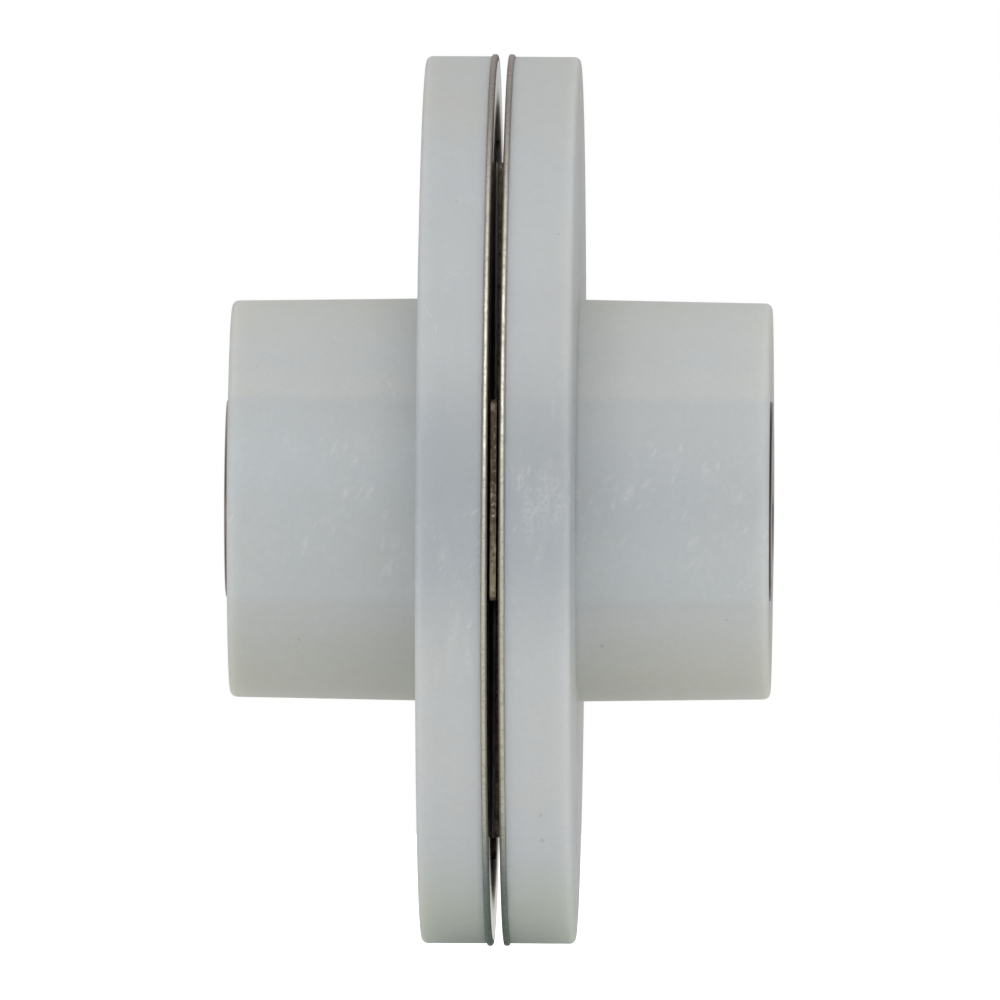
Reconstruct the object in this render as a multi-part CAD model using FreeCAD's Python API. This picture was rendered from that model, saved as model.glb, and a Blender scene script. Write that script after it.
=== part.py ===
import FreeCAD, Part
import math
import os

# Flanged Oldham coupling for two 6 mm shafts: two moulded nylon flanged hubs,
# each with a steel bore insert, a thin steel face plate and two rear set
# screws, and between them a floating cross slider whose two keys stand at
# right angles to each other.
#
# Frame: X is the shaft axis (right half at +X), +Y is the rear, Z is up. The
# origin is on the axis, midway between the face plates. Lengths are in mm.
#
# Each half is built as the right half, with its slot along Y and its plate
# rivets above and below the axis. The left half is that half mirrored in X
# and given a quarter turn about X.

os.makedirs("parts", exist_ok=True)

V = FreeCAD.Vector
ORIGIN = V(0, 0, 0)
X_AXIS = V(1, 0, 0)
Z_AXIS = V(0, 0, 1)
PAST = 1.0                  # how far cutters run past the surface they open

# ---------------------------------------------------------------- dimensions

# Face plate
PLATE_GAP = 0.54            # between the two face plates
PLATE_T = 0.30
PLATE_INNER_X = PLATE_GAP / 2
PLATE_OUTER_X = PLATE_INNER_X + PLATE_T    # the nylon starts here
PLATE_R = 44.60 / 2         # stands a little proud of the nylon
PLATE_EDGE_R = 0.11         # rolled edge left by blanking

# Nylon flange and hub
FLANGE_R = 44.35 / 2
FLANGE_X = 3.85             # outer face of the flange
FLANGE_EDGE_R = 0.30        # rounding of the outer rim
FLANGE_INNER_CHAMFER = 0.06  # against the face plate
HUB_ROOT_R = 20.10 / 2      # hub radius at the flange
HUB_END_R = 19.80 / 2       # hub radius at the free end, less by the draft
HUB_END_X = 13.50
HUB_EDGE_R = 0.34           # rounding of the free end
HUB_FILLET_R = 0.12         # in the corner against the flange
DISH_DEPTH = 0.20           # relief in the free end, with a 45 degree wall
DISH_R = 8.9

# Steel bore insert
BORE_R = 6.00 / 2
BORE_CHAMFER = 0.25
INSERT_R = 10.00 / 2
INSERT_STAND = {"left": 0.25, "right": 0.08}   # how far it stands out of the hub
INSERT_EDGE_R = 0.18
GROOVE_DEPTH = 0.55         # retention grooves round the insert
GROOVE_W = 1.10
GROOVE_STARTS = (4.70, 11.30)
FLUTE_COUNT = 6             # anti-rotation flutes, from groove to groove
FLUTE_W = 1.10
FLUTE_DEPTH = 0.45
FLUTE_START_X = GROOVE_STARTS[0] + GROOVE_W
FLUTE_END_X = GROOVE_STARTS[1]
FLUTE_FIRST_ANGLE = 15.0

# Cross slider
KEY_W = 10.00
KEY_HALF_L = 16.85
KEY_CORNER_R = 0.45
KEY_TIP_CHAMFER = 0.18
KEY_TIP_X = 2.45
WEB_T = 0.30                # cross plate
KEY_ROOT_X = WEB_T / 2
WEB_ARM_Y = 21.60           # half length of the arms under the right key
WEB_ARM_Z = KEY_HALF_L      # half length of the arms under the left key
WEB_TIP_R = 0.50
WEB_INNER_R = 1.60

# Slot the key slides in
KEY_CLEARANCE = 0.05        # on each side of the key
SLOT_HALF_W = KEY_W / 2 + KEY_CLEARANCE
SLOT_HALF_L = 18.00
SLOT_CORNER_R = 0.45
SLOT_FLOOR_X = 2.60

# Face plate rivets
RIVET_CIRCLE_R = 16.05
RIVET_SHANK_R = 2.00 / 2
RIVET_FLUSH_R = 2.80 / 2    # countersunk head in the face plate
RIVET_HEAD_R = 3.50 / 2     # upset head in the flange recess
RIVET_HEAD_T = 0.50
RIVET_CROWN_H = 0.16        # sloping part of the upset head
RIVET_CROWN_INSET = 0.55    # from the head edge to the top of the slope
RIVET_HEAD_TAPER = 0.06     # loss of radius up the side of the head
RIVET_DIMPLE_R = 0.55       # conical hollow in the middle of the head
RIVET_DIMPLE_DEPTH = 0.14
RECESS_D = 3.85
RECESS_FLOOR_X = FLANGE_X - 0.80

# Ejector pin marks in the flange face
MARK_DEPTH = 0.12
MARK_D = 1.90
MARK_Z = 12.10              # near marks above and below the axis
MARK_Y = 1.35 * MARK_Z      # marks in front of and behind the axis
OUTER_MARK_D = 1.50
OUTER_MARK_Z = 20.20        # far marks above and below the axis

# Key rivets: (radius, height) of their countersunk heads
KEY_RIVET_R = 1.60 / 2
KEY_HEAD = (2.70 / 2, 0.60)
WEB_HEAD = (2.30 / 2, WEB_T)
ARM_RIVET = 12.80           # distance of the outer rivets from the axis
CENTRE_RIVET = 3.30         # centre rivets sit at +/- this in Y and Z

# M3 set screws, both on the rear of each half
SCREW_ANGLES = {"upper": 45.0, "lower": -45.0}   # about X, up from +Y
SCREW_X = 9.00
SCREW_L = 5.50
SCREW_R = 3.00 / 2
SCREW_CORE_R = 2.62 / 2
SCREW_PITCH = 0.50
SCREW_TIP_DIST = 3.15       # tip from the shaft axis
SCREW_END_CHAMFER = 0.18
THREAD_START = 0.55
THREAD_END_MARGIN = 0.30
# One thread ridge: (radius, distance along the pitch)
THREAD_RIDGE = ((SCREW_CORE_R, 0.0), (SCREW_R, 0.20), (SCREW_R, 0.27), (SCREW_CORE_R, 0.47))
# Cup point: (radius, height above the tip face)
CUP_POINT = ((0.0, 0.28), (0.72, 0.0), (0.95, 0.0), (SCREW_CORE_R, 0.42))
HEX_ACROSS_FLATS = 1.50
HEX_DEPTH = 1.70
HEX_LEAD = dict(inner_r=0.75, outer_r=1.0, height=0.25, depth=0.20)
HEX_DRILL_R = 0.72          # drill cone below the socket
HEX_DRILL_H = 0.35

# Screw holes: start and end are distances from the shaft axis
TAP_HOLE = dict(radius=3.06 / 2, start=0.0, end=8.0)       # through the insert
CLEAR_R = 3.50 / 2
CLEAR_HOLE = dict(radius=CLEAR_R, start=4.0, end=12.0)     # through the nylon
LEAD_START = 9.62           # 45 degree lead-in at the hub surface
LEAD_H = 1.0

# ------------------------------------------------------------------- helpers


def revolve_x(points, arcs=None):
    """Solid of revolution about X from a closed outline of (x, radius) points.
    arcs maps a point's index to the middle of an arc from it to the next."""
    arcs = arcs or {}
    edges = []
    for i, point in enumerate(points):
        start = V(*point, 0)
        end = V(*points[(i + 1) % len(points)], 0)
        if i in arcs:
            edges.append(Part.Arc(start, V(*arcs[i], 0), end).toShape())
        else:
            edges.append(Part.LineSegment(start, end).toShape())
    return Part.Face(Part.Wire(edges)).revolve(ORIGIN, X_AXIS, 360)


def arc_middle(x, r, radius, x_sign, r_sign):
    """Middle of a quarter arc centred on (x, r), on the side the signs give."""
    step = radius / math.sqrt(2.0)
    return (x + x_sign * step, r + r_sign * step)


def rounded_bar(x_start, x_end, half_length, half_width, corner_r, along):
    """Flat bar across X, long in "y" or "z", with rounded corners."""
    half_y, half_z = (half_length, half_width) if along == "y" else (half_width, half_length)
    box = Part.makeBox(x_end - x_start, 2 * half_y, 2 * half_z, V(x_start, -half_y, -half_z))
    corners = [e for e in box.Edges
               if abs(e.Vertexes[0].Point.x - e.Vertexes[1].Point.x) > 1e-6]
    return box.makeFillet(corner_r, corners)


def mirror_x(shape):
    return shape.mirror(ORIGIN, X_AXIS)


def turn_x(shape, degrees):
    turned = shape.copy()
    turned.rotate(ORIGIN, X_AXIS, degrees)
    return turned


def export(name, shape, count=1):
    """Check that shape is count valid solids and write its STEP file."""
    solids = shape.Solids
    if len(solids) != count:
        raise ValueError("%s: %d solids, %d wanted" % (name, len(solids), count))
    result = solids[0] if count == 1 else Part.makeCompound(solids)
    if not result.isValid():
        result.fix(1e-5, 1e-5, 1e-4)
    if not result.isValid():
        raise ValueError(name + ": not valid")
    result.exportStep(os.path.join("parts", name + ".step"))


# -------------------------------------------------------------- screw holes


def screw_direction(name):
    """Unit vector from the shaft axis out along a set screw."""
    angle = math.radians(SCREW_ANGLES[name])
    return V(0, math.cos(angle), math.sin(angle))


def screw_point(direction, distance, x=SCREW_X):
    return V(x, direction.y * distance, direction.z * distance)


def screw_hole(name, radius, start, end):
    direction = screw_direction(name)
    return Part.makeCylinder(radius, end - start, screw_point(direction, start), direction)


def screw_lead_in(name):
    direction = screw_direction(name)
    return Part.makeCone(CLEAR_R, CLEAR_R + LEAD_H, LEAD_H,
                         screw_point(direction, LEAD_START), direction)


# ------------------------------------------------------------- coupling half


def insert_outer(stand):
    """Outer form of the steel insert, without bore or screw holes."""
    end_x = HUB_END_X + stand
    edge = INSERT_EDGE_R
    points = [(SLOT_FLOOR_X, 0.0), (SLOT_FLOOR_X, INSERT_R)]
    for x in GROOVE_STARTS:
        points += [(x, INSERT_R), (x, INSERT_R - GROOVE_DEPTH),
                   (x + GROOVE_W, INSERT_R - GROOVE_DEPTH), (x + GROOVE_W, INSERT_R)]
    edge_index = len(points)
    points += [(end_x - edge, INSERT_R), (end_x, INSERT_R - edge), (end_x, 0.0)]
    body = revolve_x(points, {
        edge_index: arc_middle(end_x - edge, INSERT_R - edge, edge, 1, 1)})
    for i in range(FLUTE_COUNT):
        flute = Part.makeBox(FLUTE_END_X - FLUTE_START_X, FLUTE_W, FLUTE_DEPTH + PAST,
                             V(FLUTE_START_X, -FLUTE_W / 2, INSERT_R - FLUTE_DEPTH))
        body = body.cut(turn_x(flute, 360.0 / FLUTE_COUNT * i + FLUTE_FIRST_ANGLE))
    return body


def make_insert(stand, hole_turn):
    """Steel insert with a bore chamfered at both ends and two screw holes."""
    start_x = SLOT_FLOOR_X
    end_x = HUB_END_X + stand
    mouth_r = BORE_R + BORE_CHAMFER
    bore = revolve_x([
        (start_x - PAST, 0.0), (start_x - PAST, mouth_r), (start_x, mouth_r),
        (start_x + BORE_CHAMFER, BORE_R), (end_x - BORE_CHAMFER, BORE_R),
        (end_x, mouth_r), (end_x + PAST, mouth_r), (end_x + PAST, 0.0)])
    insert = insert_outer(stand).cut(bore)
    for name in SCREW_ANGLES:
        insert = insert.cut(turn_x(screw_hole(name, **TAP_HOLE), hole_turn))
    return insert


def hub_blank():
    """Outer form of the moulded hub and flange."""
    rim, edge, fillet = FLANGE_EDGE_R, HUB_EDGE_R, HUB_FILLET_R
    slope = (HUB_ROOT_R - HUB_END_R) / (HUB_END_X - FLANGE_X)
    edge_x = HUB_END_X - edge
    edge_r = HUB_ROOT_R - slope * (edge_x - FLANGE_X)
    points = [
        (PLATE_OUTER_X, 0.0),
        (PLATE_OUTER_X, FLANGE_R - FLANGE_INNER_CHAMFER),
        (PLATE_OUTER_X + FLANGE_INNER_CHAMFER, FLANGE_R),
        (FLANGE_X - rim, FLANGE_R),
        (FLANGE_X, FLANGE_R - rim),
        (FLANGE_X, HUB_ROOT_R + fillet),
        (FLANGE_X + fillet, HUB_ROOT_R - slope * fillet),
        (edge_x, edge_r),
        (HUB_END_X, edge_r - edge),
        (HUB_END_X, 0.0),
    ]
    return revolve_x(points, {
        3: arc_middle(FLANGE_X - rim, FLANGE_R - rim, rim, 1, 1),
        5: arc_middle(FLANGE_X + fillet, HUB_ROOT_R + fillet, fillet, -1, -1),
        7: arc_middle(edge_x, edge_r - edge, edge, 1, 1),
    })


def slot_cutter(end_x):
    return rounded_bar(PLATE_INNER_X - PAST, end_x, SLOT_HALF_L, SLOT_HALF_W,
                       SLOT_CORNER_R, "y")


def flange_drill(diameter, start_x, y, z):
    """Cutter along X from start_x out through the flange's outer face."""
    return Part.makeCylinder(diameter / 2, FLANGE_X + PAST - start_x, V(start_x, y, z), X_AXIS)


def make_hub(stand, hole_turn):
    """Nylon hub and flange."""
    dish = revolve_x([
        (HUB_END_X - DISH_DEPTH, 0.0), (HUB_END_X - DISH_DEPTH, DISH_R - DISH_DEPTH),
        (HUB_END_X, DISH_R), (HUB_END_X + PAST, DISH_R), (HUB_END_X + PAST, 0.0)])
    hub = hub_blank().cut(dish)
    hub = hub.cut(slot_cutter(SLOT_FLOOR_X))
    hub = hub.cut(insert_outer(stand))
    mark_x = FLANGE_X - MARK_DEPTH
    for sign in (1, -1):
        for diameter, start_x, y, z in (
                (2 * RIVET_SHANK_R, 0.0, 0.0, RIVET_CIRCLE_R),
                (RECESS_D, RECESS_FLOOR_X, 0.0, RIVET_CIRCLE_R),
                (MARK_D, mark_x, 0.0, MARK_Z),
                (OUTER_MARK_D, mark_x, 0.0, OUTER_MARK_Z),
                (MARK_D, mark_x, MARK_Y, 0.0)):
            hub = hub.cut(flange_drill(diameter, start_x, sign * y, sign * z))
    for name in SCREW_ANGLES:
        hub = hub.cut(turn_x(screw_hole(name, **CLEAR_HOLE), hole_turn))
        hub = hub.cut(turn_x(screw_lead_in(name), hole_turn))
    return hub


def make_face_plate():
    """Disc with rolled edges, one slot and two countersunk holes."""
    edge = PLATE_EDGE_R
    plate = revolve_x([
        (PLATE_INNER_X, 0.0), (PLATE_INNER_X, PLATE_R - edge), (PLATE_INNER_X + edge, PLATE_R),
        (PLATE_OUTER_X - edge, PLATE_R), (PLATE_OUTER_X, PLATE_R - edge), (PLATE_OUTER_X, 0.0)],
        {1: arc_middle(PLATE_INNER_X + edge, PLATE_R - edge, edge, -1, 1),
         3: arc_middle(PLATE_OUTER_X - edge, PLATE_R - edge, edge, 1, 1)})
    plate = plate.cut(slot_cutter(PLATE_OUTER_X + PAST))
    for sign in (1, -1):
        hole = revolve_x([
            (PLATE_INNER_X - PAST, 0.0), (PLATE_INNER_X - PAST, RIVET_FLUSH_R),
            (PLATE_INNER_X, RIVET_FLUSH_R), (PLATE_OUTER_X, RIVET_SHANK_R),
            (PLATE_OUTER_X + PAST, RIVET_SHANK_R), (PLATE_OUTER_X + PAST, 0.0)])
        hole.translate(V(0, 0, sign * RIVET_CIRCLE_R))
        plate = plate.cut(hole)
    return plate


def make_plate_rivet(z):
    """Flush head, shank and upset head of one face plate rivet."""
    head_x = RECESS_FLOOR_X + RIVET_HEAD_T
    rivet = revolve_x([
        (PLATE_INNER_X, 0.0),
        (PLATE_INNER_X, RIVET_FLUSH_R),
        (PLATE_OUTER_X, RIVET_SHANK_R),
        (RECESS_FLOOR_X, RIVET_SHANK_R),
        (RECESS_FLOOR_X, RIVET_HEAD_R),
        (head_x - RIVET_CROWN_H, RIVET_HEAD_R - RIVET_HEAD_TAPER),
        (head_x, RIVET_HEAD_R - RIVET_CROWN_INSET),
        (head_x, RIVET_DIMPLE_R),
        (head_x - RIVET_DIMPLE_DEPTH, 0.0)])
    rivet.translate(V(0, 0, z))
    return rivet


def export_half(side, upper_rivet, lower_rivet):
    """Write one half. The rivets are named for where the half's turn puts
    those built above and below the axis."""
    is_left = side == "left"
    # The left half's turn brings these holes back round to the rear.
    hole_turn = -90.0 if is_left else 0.0
    stand = INSERT_STAND[side]
    pieces = {
        "hub": make_hub(stand, hole_turn),
        "bore_insert": make_insert(stand, hole_turn),
        "face_plate": make_face_plate(),
        "plate_rivet_" + upper_rivet: make_plate_rivet(RIVET_CIRCLE_R),
        "plate_rivet_" + lower_rivet: make_plate_rivet(-RIVET_CIRCLE_R),
    }
    for name, shape in pieces.items():
        if is_left:
            shape = turn_x(mirror_x(shape), 90.0)
        export(side + "_" + name, shape)


# ---------------------------------------------------------------- set screws


def make_set_screw():
    """Cup point hex socket set screw along +Z, tip face at z = 0. The thread
    is a row of separate ridges."""
    outline = list(CUP_POINT)
    z = THREAD_START
    while z + SCREW_PITCH < SCREW_L - THREAD_END_MARGIN:
        outline += [(radius, z + rise) for radius, rise in THREAD_RIDGE]
        z += SCREW_PITCH
    outline += [(SCREW_CORE_R, SCREW_L - SCREW_END_CHAMFER),
                (SCREW_CORE_R - SCREW_END_CHAMFER, SCREW_L), (0.0, SCREW_L)]
    outline.append(outline[0])
    profile = Part.makePolygon([V(radius, 0, height) for radius, height in outline])
    body = Part.Face(profile).revolve(ORIGIN, Z_AXIS, 360)

    socket_floor = SCREW_L - HEX_DEPTH
    corner_r = HEX_ACROSS_FLATS / math.sqrt(3.0)
    corners = [V(corner_r * math.cos(math.radians(60 * i)),
                 corner_r * math.sin(math.radians(60 * i)), 0) for i in range(6)]
    corners.append(corners[0])
    socket = Part.Face(Part.makePolygon(corners)).extrude(V(0, 0, HEX_DEPTH + PAST))
    socket.translate(V(0, 0, socket_floor))
    lead = Part.makeCone(HEX_LEAD["inner_r"], HEX_LEAD["outer_r"], HEX_LEAD["height"],
                         V(0, 0, SCREW_L - HEX_LEAD["depth"]), Z_AXIS)
    drill = Part.makeCone(0.0, HEX_DRILL_R, HEX_DRILL_H,
                          V(0, 0, socket_floor - HEX_DRILL_H), Z_AXIS)
    return body.cut(socket).cut(lead).cut(drill)


def export_set_screws():
    for side, x in (("left", -SCREW_X), ("right", SCREW_X)):
        for name in SCREW_ANGLES:
            direction = screw_direction(name)
            screw = make_set_screw()
            screw.Placement = FreeCAD.Placement(screw_point(direction, SCREW_TIP_DIST, x),
                                                FreeCAD.Rotation(Z_AXIS, direction))
            export("%s_set_screw_%s" % (side, name), screw)


# ------------------------------------------------------------- cross slider


def make_web():
    """Cross plate with its four inner corners rounded."""
    half_t, half_w = WEB_T / 2, KEY_W / 2
    arms_y = rounded_bar(-half_t, half_t, WEB_ARM_Y, half_w, WEB_TIP_R, "y")
    arms_z = rounded_bar(-half_t, half_t, WEB_ARM_Z, half_w, WEB_TIP_R, "z")
    web = arms_y.fuse(arms_z).removeSplitter()
    inner = [e for e in web.Edges
             if abs(e.Vertexes[0].Point.x - e.Vertexes[-1].Point.x) > half_t
             and abs(abs(e.CenterOfMass.y) - half_w) < 1e-3
             and abs(abs(e.CenterOfMass.z) - half_w) < 1e-3]
    return web.makeFillet(WEB_INNER_R, inner)


def make_key(along):
    """Key on the +X side of the cross plate."""
    key = rounded_bar(KEY_ROOT_X, KEY_TIP_X, KEY_HALF_L, KEY_W / 2, KEY_CORNER_R, along)
    tip = [e for e in key.Edges
           if all(abs(v.Point.x - KEY_TIP_X) < 1e-6 for v in e.Vertexes)]
    return key.makeChamfer(KEY_TIP_CHAMFER, tip)


def make_key_rivet(left_end, right_end, y, z):
    """Rivet along X with flush heads. Each end is (x, head)."""
    left_x, (left_r, left_h) = left_end
    right_x, (right_r, right_h) = right_end
    rivet = revolve_x([
        (left_x, 0.0), (left_x, left_r), (left_x + left_h, KEY_RIVET_R),
        (right_x - right_h, KEY_RIVET_R), (right_x, right_r), (right_x, 0.0)])
    rivet.translate(V(0, y, z))
    return rivet


def export_slider():
    left_key_end, right_key_end = (-KEY_TIP_X, KEY_HEAD), (KEY_TIP_X, KEY_HEAD)
    left_web_end, right_web_end = (-WEB_T / 2, WEB_HEAD), (WEB_T / 2, WEB_HEAD)
    arm_rivets = {
        "top": make_key_rivet(left_key_end, right_web_end, 0.0, ARM_RIVET),
        "bottom": make_key_rivet(left_key_end, right_web_end, 0.0, -ARM_RIVET),
        "rear": make_key_rivet(left_web_end, right_key_end, ARM_RIVET, 0.0),
        "front": make_key_rivet(left_web_end, right_key_end, -ARM_RIVET, 0.0),
    }
    centre_rivets = [
        make_key_rivet(left_key_end, right_key_end, y * CENTRE_RIVET, z * CENTRE_RIVET)
        for y in (1, -1) for z in (1, -1)]

    bodies = {
        "cross_plate": make_web(),
        "key_left": mirror_x(make_key("z")),
        "key_right": make_key("y"),
    }
    for name, body in bodies.items():
        for rivet in list(arm_rivets.values()) + centre_rivets:
            body = body.cut(rivet)
        export("slider_" + name, body)
    for name, rivet in arm_rivets.items():
        export("key_rivet_" + name, rivet)
    export("slider_centre_rivets", Part.makeCompound(centre_rivets), count=4)


export_half("left", upper_rivet="front", lower_rivet="rear")
export_half("right", upper_rivet="top", lower_rivet="bottom")
export_set_screws()
export_slider()
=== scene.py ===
# A flanged shaft coupling: two nylon halves with steel bore inserts and face
# plates, and between them a sliding cross plate with a key on each side.
# The shaft axis is X, +Z is up and the front faces -Y. The cross plate lies
# in the plane x = 0. The right half (+X) has its slot along Y; the left half
# is the same shape mirrored in X and turned a quarter about X.
import bpy
import bmesh
import math
from functools import cache, cached_property, reduce
from mathutils import Matrix, Vector, noise


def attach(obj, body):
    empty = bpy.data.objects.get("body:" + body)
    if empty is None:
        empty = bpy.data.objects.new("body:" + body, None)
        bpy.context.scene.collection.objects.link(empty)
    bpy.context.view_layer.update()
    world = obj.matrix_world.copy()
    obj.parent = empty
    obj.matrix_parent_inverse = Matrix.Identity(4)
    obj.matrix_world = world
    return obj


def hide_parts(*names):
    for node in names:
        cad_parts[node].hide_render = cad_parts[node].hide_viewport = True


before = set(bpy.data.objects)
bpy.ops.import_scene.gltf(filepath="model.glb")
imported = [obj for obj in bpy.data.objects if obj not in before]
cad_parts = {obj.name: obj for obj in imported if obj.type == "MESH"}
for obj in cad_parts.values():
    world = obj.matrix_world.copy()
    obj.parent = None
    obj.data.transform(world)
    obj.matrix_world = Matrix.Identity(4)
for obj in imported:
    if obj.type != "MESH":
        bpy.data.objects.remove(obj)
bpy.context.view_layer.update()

# Meshes and textures are worked in millimetres; new_object scales to metres.
MM = 0.001

# ------------------------------------------------------------- dimensions
PLATE_GAP = 0.54          # between the two face plates
PLATE_THICK = 0.30
PLATE_R = 44.60 / 2
PLATE_X0 = PLATE_GAP / 2
PLATE_X1 = PLATE_X0 + PLATE_THICK

FLANGE_R = 44.35 / 2
FLANGE_X1 = 3.85
HUB_ROOT_R = 20.10 / 2    # the hub tapers from here ...
HUB_END_R = 19.80 / 2     # ... to here
HUB_X1 = 13.50
HUB_TAPER = (HUB_ROOT_R - HUB_END_R) / (HUB_X1 - FLANGE_X1)
DISH_DEPTH = 0.20         # dished end face of the hub
DISH_R = 8.9
HUB_SWELL = (0.006, 0.004)  # depth of the two- and five-lobed waviness

BORE_R = 3.0
BORE_CHAMFER = 0.25
INSERT_R = 5.0
INSERT_STANDS_OUT = {"left": 0.25, "right": 0.08}
GROOVE_XS = (4.70, 11.30)  # near sides of the two grooves round the insert
GROOVE_W = 1.10
GROOVE_DEPTH = 0.55
FLUTE_HALF_W = 0.55

KEY_HALF_W = 5.0
KEY_HALF_L = 16.85
KEY_X1 = 2.45
KEY_CORNER_R = 0.45
SLOT_HALF_W = KEY_HALF_W + 0.05
SLOT_HALF_L = 18.0
SLOT_FLOOR_X = 2.60
CROSS_HALF_T = 0.15
CROSS_HALF_Y = 21.60      # the cross arms reach this far along Y

PLATE_RIVET_OFFSET = 16.05  # from the axis
RECESS_FLOOR_X = FLANGE_X1 - 0.80
RECESS_R = 3.85 / 2
PLATE_RIVET_R = 1.0

SCREW_X = 9.0
SCREW_TIP_R = 3.15        # distance of the tip from the axis
SCREW_L = 5.5
SCREW_ANGLES = {"upper": 45.0, "lower": -45.0}

KEY_RIVET_R = 0.8
KEY_RIVET_HOLE_GROWTH = 0.004
KEY_HEAD, WEB_HEAD = (2.70, 0.60), (2.30, 0.30)   # head diameter, depth
OUTER_RIVET_OFFSET = 12.80
CENTRE_RIVET_OFFSET = 3.30
# name: x start, x end, head at start, head at end, y, z
KEY_RIVETS = {
    "key_rivet_top": (-KEY_X1, CROSS_HALF_T, KEY_HEAD, WEB_HEAD, 0.0, OUTER_RIVET_OFFSET),
    "key_rivet_bottom": (-KEY_X1, CROSS_HALF_T, KEY_HEAD, WEB_HEAD, 0.0, -OUTER_RIVET_OFFSET),
    "key_rivet_rear": (-CROSS_HALF_T, KEY_X1, WEB_HEAD, KEY_HEAD, OUTER_RIVET_OFFSET, 0.0),
    "key_rivet_front": (-CROSS_HALF_T, KEY_X1, WEB_HEAD, KEY_HEAD, -OUTER_RIVET_OFFSET, 0.0),
}
CENTRE_RIVETS = [(-KEY_X1, KEY_X1, KEY_HEAD, KEY_HEAD,
                  side_y * CENTRE_RIVET_OFFSET, side_z * CENTRE_RIVET_OFFSET)
                 for side_y in (1, -1) for side_z in (1, -1)]


# ------------------------------------------------------------- mesh helpers
def new_object(name, mesh, smooth=30.0):
    """Object from a bmesh in millimetres. smooth is the sharp angle in
    degrees; None leaves the faces flat."""
    bmesh.ops.remove_doubles(mesh, verts=mesh.verts, dist=1e-5)
    bmesh.ops.recalc_face_normals(mesh, faces=mesh.faces)
    data = bpy.data.meshes.new(name)
    mesh.to_mesh(data)
    mesh.free()
    data.transform(Matrix.Scale(MM, 4))
    if smooth is not None:
        data.polygons.foreach_set("use_smooth", [True] * len(data.polygons))
        data.set_sharp_from_angle(angle=math.radians(smooth))
    data.update()
    obj = bpy.data.objects.new(name, data)
    bpy.context.scene.collection.objects.link(obj)
    if smooth is not None:
        modifier = obj.modifiers.new("even_normals", "WEIGHTED_NORMAL")
        modifier.keep_sharp = True
        modifier.weight = 100
    return obj


def arc(centre_a, centre_b, radius, start, stop, count):
    """count + 1 points on an arc, angles in degrees from the first axis."""
    points = []
    for i in range(count + 1):
        angle = math.radians(start + (stop - start) * i / count)
        points.append((centre_a + radius * math.cos(angle), centre_b + radius * math.sin(angle)))
    return points


def span(start, stop, count):
    """count - 1 points between start and stop, ends left out."""
    return [(start[0] + (stop[0] - start[0]) * i / count,
             start[1] + (stop[1] - start[1]) * i / count) for i in range(1, count)]


def join_rings(mesh, lower, upper):
    count = len(lower)
    for k in range(count):
        after = (k + 1) % count
        mesh.faces.new((lower[k], lower[after], upper[after], upper[k]))


def loft(rings):
    """Solid through rings of (x, y, z) points, closed at both ends."""
    mesh = bmesh.new()
    rings = [[mesh.verts.new(point) for point in ring] for ring in rings]
    for lower, upper in zip(rings[:-1], rings[1:]):
        join_rings(mesh, lower, upper)
    mesh.faces.new(list(reversed(rings[0])))
    mesh.faces.new(rings[-1])
    return mesh


def lathe(profile, count=256, jitter=None):
    """Solid of revolution about X from an (x, r) profile that starts and ends
    on the axis. jitter(i, angle) gives (dx, dr) for profile point i."""
    mesh = bmesh.new()
    rings = []
    for i, (x, r) in enumerate(profile):
        if r < 1e-9:
            rings.append([mesh.verts.new((x, 0, 0))])
            continue
        ring = []
        for k in range(count):
            angle = 2 * math.pi * k / count
            dx, dr = jitter(i, angle) if jitter else (0.0, 0.0)
            ring.append(mesh.verts.new((x + dx, (r + dr) * math.cos(angle),
                                        (r + dr) * math.sin(angle))))
        rings.append(ring)
    for lower, upper in zip(rings[:-1], rings[1:]):
        if len(lower) > 1 and len(upper) > 1:
            join_rings(mesh, lower, upper)
            continue
        for k in range(count):
            after = (k + 1) % count
            if len(lower) == 1:
                mesh.faces.new((lower[0], upper[after], upper[k]))
            else:
                mesh.faces.new((lower[k], lower[after], upper[0]))
    bmesh.ops.recalc_face_normals(mesh, faces=mesh.faces)
    return mesh


def lathe_z(profile, count):
    """Solid of revolution about Z from an (r, z) profile."""
    mesh = lathe([(z, r) for r, z in profile], count)
    mesh.transform(Matrix(((0, 0, -1, 0), (0, 1, 0, 0), (1, 0, 0, 0), (0, 0, 0, 1))))
    return mesh


def prism(points, x0, x1):
    """Prism along X over a closed (y, z) outline."""
    mesh = bmesh.new()
    start = [mesh.verts.new((x0, y, z)) for y, z in points]
    end = [mesh.verts.new((x1, y, z)) for y, z in points]
    mesh.faces.new(start)
    mesh.faces.new(list(reversed(end)))
    for i in range(len(points)):
        j = (i + 1) % len(points)
        mesh.faces.new((start[j], start[i], end[i], end[j]))
    bmesh.ops.recalc_face_normals(mesh, faces=mesh.faces)
    return mesh


def rounded_rect(half_y, half_z, radius, count=8):
    y, z = half_y - radius, half_z - radius
    points = []
    for centre_y, centre_z, start in ((y, z, 0), (-y, z, 90), (-y, -z, 180), (y, -z, 270)):
        points += arc(centre_y, centre_z, radius, start, start + 90, count)
    return points


def temp_object(mesh):
    bmesh.ops.recalc_face_normals(mesh, faces=mesh.faces)
    data = bpy.data.meshes.new("tmp")
    mesh.to_mesh(data)
    mesh.free()
    obj = bpy.data.objects.new("tmp", data)
    bpy.context.scene.collection.objects.link(obj)
    return obj


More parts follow.
